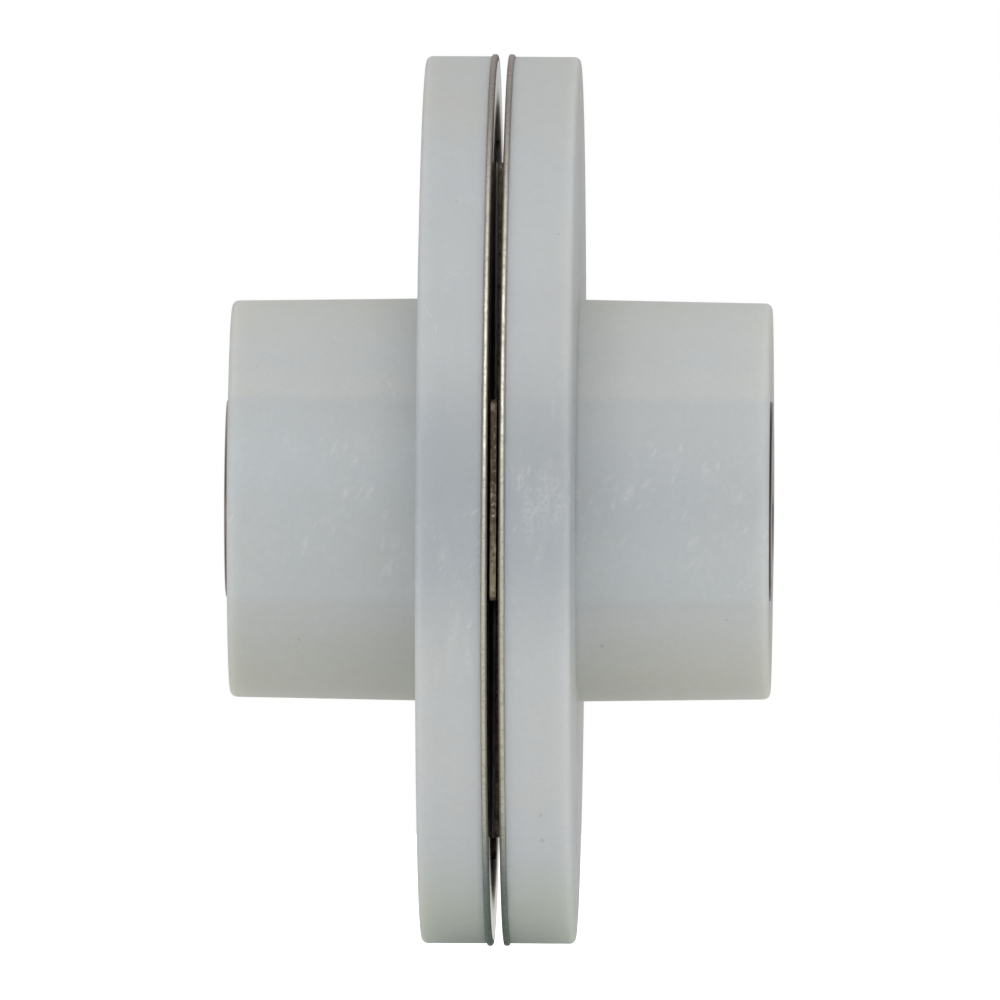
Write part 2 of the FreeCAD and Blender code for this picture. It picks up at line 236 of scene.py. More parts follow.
def cut(mesh, cutters):
    """mesh with each cutter taken away by the exact solver."""
    base = temp_object(mesh)
    tools = []
    for cutter in cutters:
        tool = temp_object(cutter)
        tools.append(tool)
        modifier = base.modifiers.new("cut", "BOOLEAN")
        modifier.operation = "DIFFERENCE"
        modifier.solver = "EXACT"
        modifier.object = tool
    depsgraph = bpy.context.evaluated_depsgraph_get()
    data = bpy.data.meshes.new_from_object(base.evaluated_get(depsgraph))
    result = bmesh.new()
    result.from_mesh(data)
    for obj in [base] + tools:
        old = obj.data
        bpy.data.objects.remove(obj)
        bpy.data.meshes.remove(old)
    bpy.data.meshes.remove(data)
    bmesh.ops.dissolve_degenerate(result, dist=1e-5, edges=result.edges)
    return result


def merge(parts):
    """Several bmeshes as one."""
    result = bmesh.new()
    for part in parts:
        data = bpy.data.meshes.new("tmp")
        bmesh.ops.recalc_face_normals(part, faces=part.faces)
        part.to_mesh(data)
        part.free()
        result.from_mesh(data)
        bpy.data.meshes.remove(data)
    return result


def turn(mesh, degrees):
    mesh.transform(Matrix.Rotation(math.radians(degrees), 4, "X"))
    return mesh


def move(mesh, y, z):
    mesh.transform(Matrix.Translation((0, y, z)))
    return mesh


def mirror_x(mesh, after=Matrix.Identity(4)):
    """Mirrors in X, then applies the matrix after."""
    mesh.transform(after @ Matrix.Scale(-1, 4, (1, 0, 0)))
    bmesh.ops.reverse_faces(mesh, faces=mesh.faces)
    return mesh


def to_side(mesh, side):
    """Halves are built as the right one; the left is mirrored and turned."""
    if side == "left":
        mirror_x(mesh, after=Matrix.Rotation(math.radians(90), 4, "X"))
    return mesh


def along(mesh, direction, origin):
    """Points a bmesh built along +Z along direction, from origin."""
    spin = Vector((0, 0, 1)).rotation_difference(direction)
    mesh.transform(Matrix.Translation(origin) @ spin.to_matrix().to_4x4())
    return mesh


def screw_direction(name):
    angle = math.radians(SCREW_ANGLES[name])
    return Vector((0, math.cos(angle), math.sin(angle)))


# ------------------------------------------------------------- the halves
def slot_cutter(x0, x1):
    return prism(rounded_rect(SLOT_HALF_L, SLOT_HALF_W, KEY_CORNER_R), x0, x1)


def screw_cutters(profile, side):
    """Two cutters from an (r, z) profile, z being distance from the axis.
    On the left they are turned back, so that to_side brings them right."""
    turn_back = 0.0 if side == "right" else -90.0
    return [turn(along(lathe_z(profile, 64), screw_direction(name), (SCREW_X, 0, 0)), turn_back)
            for name in SCREW_ANGLES]


def hub_profile():
    flange_edge_r, end_edge_r, root_r, rim_r = 0.30, 0.34, 0.12, 0.06
    end_x = HUB_X1 - end_edge_r
    end_r = HUB_ROOT_R - HUB_TAPER * (end_x - FLANGE_X1)
    points = [(PLATE_X1, 0.0), (PLATE_X1, 12.0), (PLATE_X1, 18.5), (PLATE_X1, FLANGE_R - rim_r)]
    points += arc(PLATE_X1 + rim_r, FLANGE_R - rim_r, rim_r, 180, 90, 4)[1:]
    points += span((PLATE_X1 + rim_r, FLANGE_R), (FLANGE_X1 - flange_edge_r, FLANGE_R), 8)
    points += arc(FLANGE_X1 - flange_edge_r, FLANGE_R - flange_edge_r, flange_edge_r, 90, 0, 9)
    points += span((FLANGE_X1, FLANGE_R - flange_edge_r), (FLANGE_X1, HUB_ROOT_R + root_r), 10)
    points += arc(FLANGE_X1 + root_r, HUB_ROOT_R + root_r, root_r, 180, 270, 6)
    points += span((FLANGE_X1 + root_r, HUB_ROOT_R - HUB_TAPER * root_r), (end_x, end_r), 16)
    points += arc(end_x, end_r - end_edge_r, end_edge_r, 90, 0, 9)
    points += span((HUB_X1, end_r - end_edge_r), (HUB_X1, DISH_R + 0.05), 2)
    dish_x = HUB_X1 - DISH_DEPTH
    points += [(HUB_X1, DISH_R + 0.05), (HUB_X1 - 0.02, DISH_R - 0.01),
               (dish_x + 0.03, DISH_R - DISH_DEPTH + 0.02),
               (dish_x, DISH_R - DISH_DEPTH - 0.05), (dish_x, 7.0), (dish_x, 0.0)]
    return points


def hub_waviness(i, angle):
    """Slight sink and swell of a moulded surface, a few microns."""
    two_lobed, five_lobed = HUB_SWELL
    return (0.0, two_lobed * math.sin(2 * angle + 0.9)
            + five_lobed * math.sin(5 * angle + i * 0.21))


def rivet_recess(y, z):
    """Cutter: rivet hole and the round recess over it, edge broken."""
    x1 = FLANGE_X1 - 0.05
    bevel, corner = 0.06, 0.04
    profile = [(0.0, 0.0), (0.0, PLATE_RIVET_R), (RECESS_FLOOR_X, PLATE_RIVET_R),
               (RECESS_FLOOR_X, RECESS_R - corner), (RECESS_FLOOR_X + corner, RECESS_R),
               (x1, RECESS_R), (x1 + bevel, RECESS_R + bevel),
               (x1 + 1.0, RECESS_R + bevel), (x1 + 1.0, 0.0)]
    return move(lathe(profile, 96), y, z)


def shallow_ring_mark(radius, y, z):
    """Cutter: a shallow round pocket in the outer face of the flange."""
    x0, x1, bevel = FLANGE_X1 - 0.12, FLANGE_X1 - 0.02, 0.03
    profile = [(x0, 0.0), (x0, radius), (x1 - bevel, radius), (x1, radius + bevel),
               (x1 + 1.0, radius + bevel), (x1 + 1.0, 0.0)]
    return move(lathe(profile, 64), y, z)


def hub(side, insert_blank):
    cutters = [slot_cutter(PLATE_X1 - 1.0, SLOT_FLOOR_X)]
    pocket_offset = 12.10
    for sign in (1, -1):
        cutters.append(rivet_recess(0, sign * PLATE_RIVET_OFFSET))
        cutters.append(shallow_ring_mark(0.95, 0, sign * pocket_offset))
        cutters.append(shallow_ring_mark(0.75, 0, sign * 20.20))
        cutters.append(shallow_ring_mark(0.95, sign * pocket_offset * 1.35, 0))
    # Clearance hole for the screws, flared where it leaves the hub.
    radius, top = 1.75, 12.0
    flared = [(0, 4.0), (radius, 4.0), (radius, 9.55), (radius + 0.12, 9.70),
              (radius + 1.0, 10.62), (radius + 1.0, top), (0, top)]
    cutters += screw_cutters(flared, side)
    return cut(lathe(hub_profile(), 256, hub_waviness), [insert_blank, merge(cutters)])


def insert_blank(side):
    """The insert before boring, with its two grooves and six flutes."""
    x1, edge_r = HUB_X1 + INSERT_STANDS_OUT[side], 0.18
    groove_r = INSERT_R - GROOVE_DEPTH
    profile = [(SLOT_FLOOR_X, 0.0), (SLOT_FLOOR_X, 4.0), (SLOT_FLOOR_X, INSERT_R - 0.08),
               (SLOT_FLOOR_X + 0.08, INSERT_R)]
    for groove_x in GROOVE_XS:
        profile += [(groove_x, INSERT_R), (groove_x, groove_r),
                    (groove_x + GROOVE_W, groove_r), (groove_x + GROOVE_W, INSERT_R)]
    profile += arc(x1 - edge_r, INSERT_R - edge_r, edge_r, 90, 0, 6) + [(x1, 3.8), (x1, 0.0)]
    flutes = []
    for k in range(6):
        flute = prism([(-FLUTE_HALF_W, 4.55), (FLUTE_HALF_W, 4.55), (FLUTE_HALF_W, 5.6),
                       (-FLUTE_HALF_W, 5.6)], GROOVE_XS[0] + GROOVE_W, GROOVE_XS[1])
        flutes.append(turn(flute, 60.0 * k + 15.0))
    return cut(lathe(profile, 192), [merge(flutes)])


def bore_insert(side, blank):
    x0, x1 = SLOT_FLOOR_X, HUB_X1 + INSERT_STANDS_OUT[side]
    chamfer, wide = BORE_CHAMFER, BORE_R + BORE_CHAMFER
    drill = lathe([(x0 - 1, 0.0), (x0 - 1, wide), (x0, wide), (x0 + chamfer, BORE_R),
                   (x1 - chamfer, BORE_R), (x1, wide), (x1 + 1, wide), (x1 + 1, 0.0)], 144)
    tap = [(0, 2.4), (1.53, 2.4), (1.53, 8.0), (0, 8.0)]
    return cut(blank, [drill, merge(screw_cutters(tap, side))])


def face_plate(side):
    """Sheet steel disc with a rough rim."""
    edge_r = 0.11
    inner_r = PLATE_R - 0.35
    start = [(PLATE_X0, 0.0), (PLATE_X0, 10.0), (PLATE_X0, 20.0), (PLATE_X0, inner_r)]
    rim = (arc(PLATE_X0 + edge_r, PLATE_R - edge_r, edge_r, 180, 90, 5)
           + arc(PLATE_X1 - edge_r, PLATE_R - edge_r, edge_r, 90, 0, 5))
    end = [(PLATE_X1, inner_r), (PLATE_X1, 20.0), (PLATE_X1, 0.0)]
    seed = 3.1 if side == "left" else 17.7

    def roughness(i, angle):
        if not len(start) <= i < len(start) + len(rim):
            return (0.0, 0.0)
        y, z = PLATE_R * math.cos(angle), PLATE_R * math.sin(angle)
        weight = 1.0 - abs(i - 9.5) / 6.5      # full in the middle of the rim
        coarse = noise.noise(Vector((y * 2.3, z * 2.3, seed)))
        fine = noise.noise(Vector((y * 6.0, z * 6.0, seed + i * 0.35)))
        return (0.012 * weight * fine,
                weight * (0.016 * coarse + 0.016 * fine) - 0.016 * weight)

    cutters = [slot_cutter(PLATE_X0 - 1, PLATE_X1 + 1)]
    countersink = [(PLATE_X0 - 0.5, 0.0), (PLATE_X0 - 0.5, 1.43), (PLATE_X0, 1.43),
                   (PLATE_X1, 1.02), (PLATE_X1 + 0.5, 1.02), (PLATE_X1 + 0.5, 0.0)]
    for sign in (1, -1):
        cutters.append(move(lathe(countersink, 72), 0, sign * PLATE_RIVET_OFFSET))
    return cut(lathe(start + rim + end, 1536, roughness), [merge(cutters)])


def plate_rivet(sign):
    """Countersunk in the face plate, with a dimpled head in the recess."""
    floor = RECESS_FLOOR_X
    corner_r = 0.07
    profile = [(PLATE_X0, 0.0), (PLATE_X0, 1.35), (PLATE_X0 + 0.012, 1.395),
               (PLATE_X1, PLATE_RIVET_R), (floor, PLATE_RIVET_R), (floor, 1.68)]
    profile += arc(floor + corner_r, 1.68, corner_r, 180, 90, 3)[1:]
    # height above the recess floor, radius
    head = [(0.20, 1.745), (0.34, 1.66), (0.43, 1.46), (0.48, 1.2), (0.50, 0.9), (0.50, 0.62),
            (0.47, 0.48), (0.41, 0.30), (0.375, 0.12), (0.37, 0.0)]
    profile += [(floor + height, r) for height, r in head]
    return move(lathe(profile, 96), 0, sign * PLATE_RIVET_OFFSET)


# ------------------------------------------------------------- set screw
def thread_cap(z, crest_r, root_r, tip_r):
    """Largest radius at height z: cone at the tip, bevel at the other end."""
    if z < 0.42:
        return tip_r + (root_r - tip_r) * z / 0.42
    if z < 0.62:
        return root_r + (crest_r - root_r) * (z - 0.42) / 0.20
    if z > SCREW_L - 0.34:
        return crest_r - (z - SCREW_L + 0.34) * 1.0
    return crest_r


def set_screw():
    """M3 cup point set screw with a real helix, along +Z, tip at 0."""
    crest_r, root_r, pitch = 1.5, 1.31, 0.5
    cup_r, cup_depth = 0.72, 0.28
    socket_width, socket_depth = 1.5, 1.70
    count = 72
    steps = round(SCREW_L / 0.04)
    mesh = bmesh.new()
    rings = []
    for j in range(steps + 1):
        z = SCREW_L * j / steps
        cap = thread_cap(z, crest_r, root_r, 0.95)
        ring = []
        for k in range(count):
            angle = 2 * math.pi * k / count
            phase = (z / pitch - k / count) % 1.0
            ridge = 1.0 - abs(2 * phase - 1.0)
            height = min(1.0, max(0.0, (ridge - 0.14) / 0.72))   # flat crest and root
            r = min(root_r + (crest_r - root_r) * height, cap)
            ring.append(mesh.verts.new((r * math.cos(angle), r * math.sin(angle), z)))
        rings.append(ring)
    for lower, upper in zip(rings[:-1], rings[1:]):
        join_rings(mesh, lower, upper)
    cup = []
    for k in range(count):
        angle = 2 * math.pi * k / count
        cup.append(mesh.verts.new((cup_r * math.cos(angle), cup_r * math.sin(angle), 0.0)))
    cup_floor = mesh.verts.new((0, 0, cup_depth))
    for k in range(count):
        after = (k + 1) % count
        mesh.faces.new((rings[0][after], rings[0][k], cup[k], cup[after]))
        mesh.faces.new((cup[after], cup[k], cup_floor))
    mesh.faces.new(rings[-1])

    socket = bmesh.new()
    corner_r = socket_width / math.sqrt(3)
    corners = [(corner_r * math.cos(math.radians(60 * i)), corner_r * math.sin(math.radians(60 * i)))
               for i in range(6)]
    low = [socket.verts.new((x, y, SCREW_L - socket_depth)) for x, y in corners]
    high = [socket.verts.new((x, y, SCREW_L + 0.5)) for x, y in corners]
    socket.faces.new(list(reversed(low)))
    socket.faces.new(high)
    join_rings(socket, low, high)
    lead_in = lathe_z([(0, SCREW_L - 0.22), (0.74, SCREW_L - 0.22), (1.02, SCREW_L + 0.06),
                       (0, SCREW_L + 0.06)], 64)
    drill = lathe_z([(0, SCREW_L - 2.05), (0.70, SCREW_L - 1.68), (0.70, SCREW_L - 1.6),
                     (0, SCREW_L - 1.6)], 48)
    return cut(mesh, [socket, lead_in, drill])


# ------------------------------------------------------------- the slider
def cross_outline():
    """Outline of the cross plate, (y, z) points round the edge."""
    half_y, half_z, arm = CROSS_HALF_Y, KEY_HALF_L, KEY_HALF_W
    tip_r, inner_r = 0.50, 1.60
    fine_step, side_step = 0.06, 0.25

    def line(start, stop, step):
        count = int(math.hypot(stop[0] - start[0], stop[1] - start[1]) / step)
        return [start] + span(start, stop, count)

    def quarter(centre_y, centre_z, radius, start, stop):
        return arc(centre_y, centre_z, radius, start, stop, 8)[:-1]

    # One quadrant, from the middle of the +Y tip to the middle of the +Z tip.
    quadrant = line((half_y, 0), (half_y, arm - tip_r), fine_step)
    quadrant += quarter(half_y - tip_r, arm - tip_r, tip_r, 0, 90)
    quadrant += line((half_y - tip_r, arm), (arm + inner_r, arm), side_step)
    quadrant += quarter(arm + inner_r, arm + inner_r, inner_r, 270, 180)
    quadrant += line((arm, arm + inner_r), (arm, half_z - tip_r), side_step)
    quadrant += quarter(arm - tip_r, half_z - tip_r, tip_r, 0, 90)
    quadrant += line((arm - tip_r, half_z), (0, half_z), fine_step * 2)
    quadrant.append((0, half_z))
    upper = quadrant + [(-y, z) for y, z in reversed(quadrant[:-1])]
    return upper + [(y, -z) for y, z in reversed(upper[1:-1])]


def cross_plate():
    """Sheet steel cross with a slightly ragged edge."""
    points = cross_outline()
    normals = []
    for i in range(len(points)):
        before, after = points[i - 1], points[(i + 1) % len(points)]
        dy, dz = after[0] - before[0], after[1] - before[1]
        length = math.hypot(dy, dz)
        normals.append((dz / length, -dy / length))
    stations = [-CROSS_HALF_T, -0.135, -0.085, -0.03, 0.03, 0.085, 0.135, CROSS_HALF_T]

    def offset(x, y, z):
        """How far the edge stands out along its normal."""
        if abs(x) == CROSS_HALF_T:
            return -0.022
        out = -0.012 + 0.012 * noise.noise(Vector((y * 5.0, z * 5.0, x * 18.0)))
        out += 0.010 * noise.noise(Vector((y * 13.0, z * 13.0, x * 30.0)))
        if x > 0.05:
            out -= 0.010
        return min(out, 0.0)

    rings = []
    for x in stations:
        ring = []
        for (y, z), (normal_y, normal_z) in zip(points, normals):
            out = offset(x, y, z)
            ring.append((x, y + normal_y * out, z + normal_z * out))
        rings.append(ring)
    return loft(rings)


def key_block(half_y, half_z):
    """Machined key on the +X side of the cross plate, edges broken."""
    # x, inset of the outline
    layers = [(CROSS_HALF_T, 0.03), (CROSS_HALF_T + 0.03, 0.0), (KEY_X1 - 0.18, 0.0),
              (KEY_X1 - 0.10, 0.03), (KEY_X1 - 0.03, 0.10), (KEY_X1, 0.18)]
    return loft([[(x, y, z) for y, z in
                  rounded_rect(half_y - inset, half_z - inset, KEY_CORNER_R, 10)]
                 for x, inset in layers])


def key_rivet(x0, x1, head0, head1, y, z):
    """Double countersunk rivet with lightly dished ends."""
    (width0, depth0), (width1, depth1) = head0, head1
    r0, r1 = width0 / 2, width1 / 2
    bevel = 0.03
    profile = [(x0 + 0.05, 0.0), (x0 + 0.035, 0.25), (x0, 0.42), (x0, r0 - bevel),
               (x0 + bevel * 0.5, r0 - 0.01), (x0 + depth0, KEY_RIVET_R),
               (x1 - depth1, KEY_RIVET_R), (x1 - bevel * 0.5, r1 - 0.01), (x1, r1 - bevel),
               (x1, 0.42), (x1 - 0.035, 0.25), (x1 - 0.05, 0.0)]
    return move(lathe(profile, 72), y, z)


def key_rivet_hole(x0, x1, head0, head1, y, z):
    (width0, depth0), (width1, depth1) = head0, head1
    growth = KEY_RIVET_HOLE_GROWTH
    shank_r, r0, r1 = KEY_RIVET_R + growth, width0 / 2 + growth, width1 / 2 + growth
    profile = [(x0 - 0.5, 0.0), (x0 - 0.5, r0), (x0, r0), (x0 + depth0, shank_r),
               (x1 - depth1, shank_r), (x1, r1), (x1 + 0.5, r1), (x1 + 0.5, 0.0)]
    return move(lathe(profile, 72), y, z)


def drill_slider(mesh):
    """Cuts the holes of all the slider's rivets."""
    rivets = list(KEY_RIVETS.values()) + CENTRE_RIVETS
    return cut(mesh, [merge([key_rivet_hole(*rivet) for rivet in rivets])])


# ------------------------------------------------------------- node helpers
class Net:
    """Writes a shader node tree. Arguments may be sockets or plain values."""

    def __init__(self, tree):
        self.tree = tree

    @cached_property
    def mm(self):
        """Object position in millimetres."""
        scale = self.node("ShaderNodeVectorMath", operation="SCALE")
        self.put(scale.inputs[0], self.node("ShaderNodeTexCoord").outputs["Object"])
        scale.inputs["Scale"].default_value = 1000.0
        return scale.outputs[0]

    @cached_property
    def xyz(self):
        return self.split(self.mm)

    @cached_property
    def radius(self):
        """Distance from the shaft axis."""
        _, y, z = self.xyz
        return self.math("SQRT", self.add(self.mul(y, y), self.mul(z, z)))

    def node(self, kind, **props):
        node = self.tree.nodes.new(kind)
        for name, value in props.items():
            setattr(node, name, value)
        return node

    def put(self, socket, value):
        if isinstance(value, bpy.types.NodeSocket):
            self.tree.links.new(value, socket)
        else:
            socket.default_value = value

    def shader(self, kind, *inputs):
        """A node with its first inputs filled; gives its first output."""
        node = self.node(kind)
        for socket, value in zip(node.inputs, inputs):
            self.put(socket, value)
        return node.outputs[0]

    def math(self, operation, first, second=None, clamp=False):
        node = self.node("ShaderNodeMath", operation=operation, use_clamp=clamp)
        self.put(node.inputs[0], first)
        if second is not None:
            self.put(node.inputs[1], second)
        return node.outputs[0]

    def add(self, *terms):
        return reduce(lambda a, b: self.math("ADD", a, b), terms)

    def mul(self, *terms):
        return reduce(lambda a, b: self.math("MULTIPLY", a, b), terms)

    def highest(self, *terms):
        return reduce(lambda a, b: self.math("MAXIMUM", a, b), terms)

    def sub(self, first, second):
        return self.math("SUBTRACT", first, second)

    def invert(self, value):
        return self.sub(1.0, value)

    def plus(self, start, value, amount):
        """start + value * amount"""
        return self.add(start, self.mul(value, amount))

    def swing(self, value, amount):
        """A 0..1 value moved to swing about zero."""
        return self.mul(self.sub(value, 0.5), amount)

    def split(self, vector):
        node = self.node("ShaderNodeSeparateXYZ")
        self.put(node.inputs[0], vector)
        return node.outputs

    def combine(self, x, y, z):
        return self.shader("ShaderNodeCombineXYZ", x, y, z)

    def stretch(self, vector, factors):
        node = self.node("ShaderNodeVectorMath", operation="MULTIPLY")
        self.put(node.inputs[0], vector)
        self.put(node.inputs[1], factors)
        return node.outputs[0]

    def noise(self, scale, detail=2.0, rough=0.5, vector=None, w=None, distort=0.0):
        node = self.node("ShaderNodeTexNoise", noise_dimensions="3D" if w is None else "4D")
        self.put(node.inputs["Vector"], self.mm if vector is None else vector)
        node.inputs["Scale"].default_value = scale
        node.inputs["Detail"].default_value = detail
        node.inputs["Roughness"].default_value = rough
        node.inputs["Distortion"].default_value = distort
        if w is not None:
            node.inputs["W"].default_value = w
        return node.outputs[0]

    def ramp(self, value, off, on, low=0.0, high=1.0, kind="SMOOTHSTEP"):
        """low where value is at off or beyond, high at on or beyond."""
        node = self.node("ShaderNodeMapRange", interpolation_type=kind, clamp=True)
        for socket, item in zip(node.inputs, (value, off, on, low, high)):
            self.put(socket, item)
        return node.outputs[0]

    def band(self, value, off, on):
        """A ramp on both sides of zero."""
        return self.ramp(self.math("ABSOLUTE", value), off=off, on=on)

    def mix(self, factor, first, second, blend="MIX"):
        node = self.node("ShaderNodeMix", data_type="RGBA", blend_type=blend, clamp_factor=True)
        self.put(node.inputs[0], factor)
        for socket, colour in ((node.inputs[6], first), (node.inputs[7], second)):
            self.put(socket, (*colour, 1.0) if isinstance(colour, tuple) else colour)
        return node.outputs[2]

    def lay(self, under, over, mask, strength):
        """over laid on under through a weakened mask."""
        return self.mix(self.mul(mask, strength), under, over)

    def tint(self, colour, by, mask):
        """colour multiplied by another colour where mask is 1."""
        return self.mix(mask, colour, self.mix(1.0, colour, by, "MULTIPLY"))

    def bump(self, height, depth, strength, over=None):
        """Normal from a height; depth in millimetres."""
        node = self.node("ShaderNodeBump")
        node.inputs["Strength"].default_value = strength
        node.inputs["Distance"].default_value = depth * MM
        self.put(node.inputs["Height"], height)
        if over is not None:
            self.put(node.inputs["Normal"], over)
        return node.outputs[0]

    def output(self, shader, kind="ShaderNodeOutputMaterial"):
        self.put(self.node(kind).inputs[0], shader)

    def principled(self, **inputs):
        node = self.node("ShaderNodeBsdfPrincipled", subsurface_method="RANDOM_WALK")
        for name, value in inputs.items():
            self.put(node.inputs[name.replace("_", " ")], value)
        self.output(node.outputs[0])


def new_net(owner):
    """Empty net in a new material or world."""
    owner.use_nodes = True
    owner.node_tree.nodes.clear()
    return Net(owner.node_tree)


def scaled(colour, factor):
    return tuple(channel * factor for channel in colour)


@cache
def fleck_group():
    """Soft elliptical mark at (cu, cv), long axis along (c, s), half sizes
    a and b."""
    tree = bpy.data.node_groups.new("fleck", "ShaderNodeTree")
    for name in ("u", "v", "cu", "cv", "c", "s", "a", "b"):
        tree.interface.new_socket(name, in_out="INPUT", socket_type="NodeSocketFloat")
    tree.interface.new_socket("mask", in_out="OUTPUT", socket_type="NodeSocketFloat")
    net = Net(tree)
    given = net.node("NodeGroupInput").outputs
    output = net.node("NodeGroupOutput")
    cosine, sine = given["c"], given["s"]
    du = net.sub(given["u"], given["cu"])
    dv = net.sub(given["v"], given["cv"])
    lengthwise = net.math("DIVIDE", net.add(net.mul(du, cosine), net.mul(dv, sine)), given["a"])
    across = net.math("DIVIDE", net.sub(net.mul(dv, cosine), net.mul(du, sine)), given["b"])
    distance = net.add(net.mul(lengthwise, lengthwise), net.mul(across, across))
    falloff = 0.55
    soft = net.math("SUBTRACT", 1.0, net.mul(distance, falloff), clamp=True)
    net.put(output.inputs["mask"], net.mul(soft, soft))
    return tree


def fleck(net, u, v, centre_u, centre_v, degrees, half_length, half_width):
    node = net.node("ShaderNodeGroup", node_tree=fleck_group())
    angle = math.radians(degrees)
    for socket, value in zip(node.inputs, (u, v, centre_u, centre_v, math.cos(angle),
                                           math.sin(angle), half_length, half_width)):
        net.put(socket, value)
    return node.outputs[0]


# ------------------------------------------------------------- nylon
COOL, WARM = (0.575, 0.600, 0.612), (0.585, 0.585, 0.555)
WHITE = (1.0, 1.0, 1.0)

# Scuffs on the front: x, z, slant in degrees, half length, half width, strength
LEFT_MARKS = [
    (-10.6, 3.0, 62, 0.40, 0.10, 0.55), (-10.2, 2.4, 58, 0.30, 0.09, 0.40),
    (-8.15, 2.6, 64, 0.42, 0.11, 0.65), (-7.15, 1.85, 55, 0.38, 0.12, 0.60),
    (-6.85, 0.35, 60, 0.50, 0.12, 0.55), (-7.6, 0.25, 70, 0.36, 0.16, 0.70),
    (-8.3, -0.95, 50, 0.30, 0.10, 0.40), (-6.35, 0.40, 66, 0.45, 0.14, 0.70),
    (-5.6, -0.75, 58, 0.40, 0.14, 0.50), (-9.6, -2.4, 74, 0.55, 0.11, 0.60),
    (-5.1, -2.2, 52, 0.45, 0.22, 0.40), (-5.7, -3.6, 60, 0.35, 0.13, 0.45),
    (-4.2, 2.4, 80, 0.30, 0.08, 0.40), (-11.3, 1.2, 60, 0.26, 0.08, 0.35),
    (-9.0, 1.4, 66, 0.25, 0.08, 0.35), (-5.50, 5.75, 118, 0.34, 0.045, 0.90),
    (-5.22, 5.25, 100, 0.28, 0.040, 0.85), (-5.66, 6.20, 140, 0.18, 0.035, 0.60),
    (-3.20, 9.15, 128, 0.62, 0.045, 0.80), (-2.90, 8.50, 106, 0.30, 0.040, 0.60),
    (-2.35, 10.95, 35, 0.30, 0.05, 0.55), (-2.0, 11.2, 20, 0.22, 0.04, 0.45),
    (-2.45, -3.0, 84, 1.10, 0.30, 0.30), (-1.95, -6.9, 80, 1.5, 0.32, 0.38),
    (-1.25, -7.6, 96, 1.2, 0.20, 0.34), (-2.75, -8.6, 88, 0.9, 0.14, 0.30),
    (-1.15, -6.2, 80, 0.35, 0.10, 0.55),
]
RIGHT_MARKS = [
    (6.50, 0.35, 62, 0.55, 0.26, 0.68), (7.40, 0.85, 40, 0.38, 0.13, 0.70),
    (7.80, 0.60, 20, 0.34, 0.10, 0.60), (9.10, 2.65, 66, 0.36, 0.12, 0.65),
    (8.85, 1.70, 60, 0.34, 0.11, 0.45), (6.9, 1.75, 58, 0.30, 0.10, 0.35),
    (5.4, 1.1, 50, 0.30, 0.11, 0.55), (5.9, 0.65, 66, 0.28, 0.10, 0.45),
    (7.1, -0.2, 60, 0.30, 0.10, 0.45), (3.95, 0.2, 70, 0.42, 0.16, 0.50),
    (4.7, 0.0, 56, 0.34, 0.13, 0.45), (6.3, -2.0, 62, 0.40, 0.12, 0.30),
    (10.4, 1.9, 62, 0.26, 0.09, 0.30), (5.2, -3.1, 64, 0.34, 0.11, 0.30),
    (8.3, -1.2, 58, 0.30, 0.10, 0.28), (2.60, 0.1, 84, 1.9, 0.55, 0.34),
    (1.75, -0.9, 92, 1.6, 0.35, 0.40), (3.25, -0.3, 78, 0.9, 0.25, 0.42),
    (1.35, 0.9, 86, 0.8, 0.20, 0.38), (2.3, -2.6, 80, 1.0, 0.25, 0.28),
    (2.95, 4.6, 88, 0.9, 0.10, 0.25),
]
# Dark specks on the front: x, z, radius
LEFT_SPECKS = [(-9.9, -7.0, 0.07), (-2.0, 14.8, 0.06), (-12.1, 6.6, 0.05)]
RIGHT_SPECKS = [(5.2, -7.25, 0.10), (2.35, -15.65, 0.10), (2.40, -16.9, 0.11),
                (11.4, -5.9, 0.07), (3.1, 13.2, 0.06)]


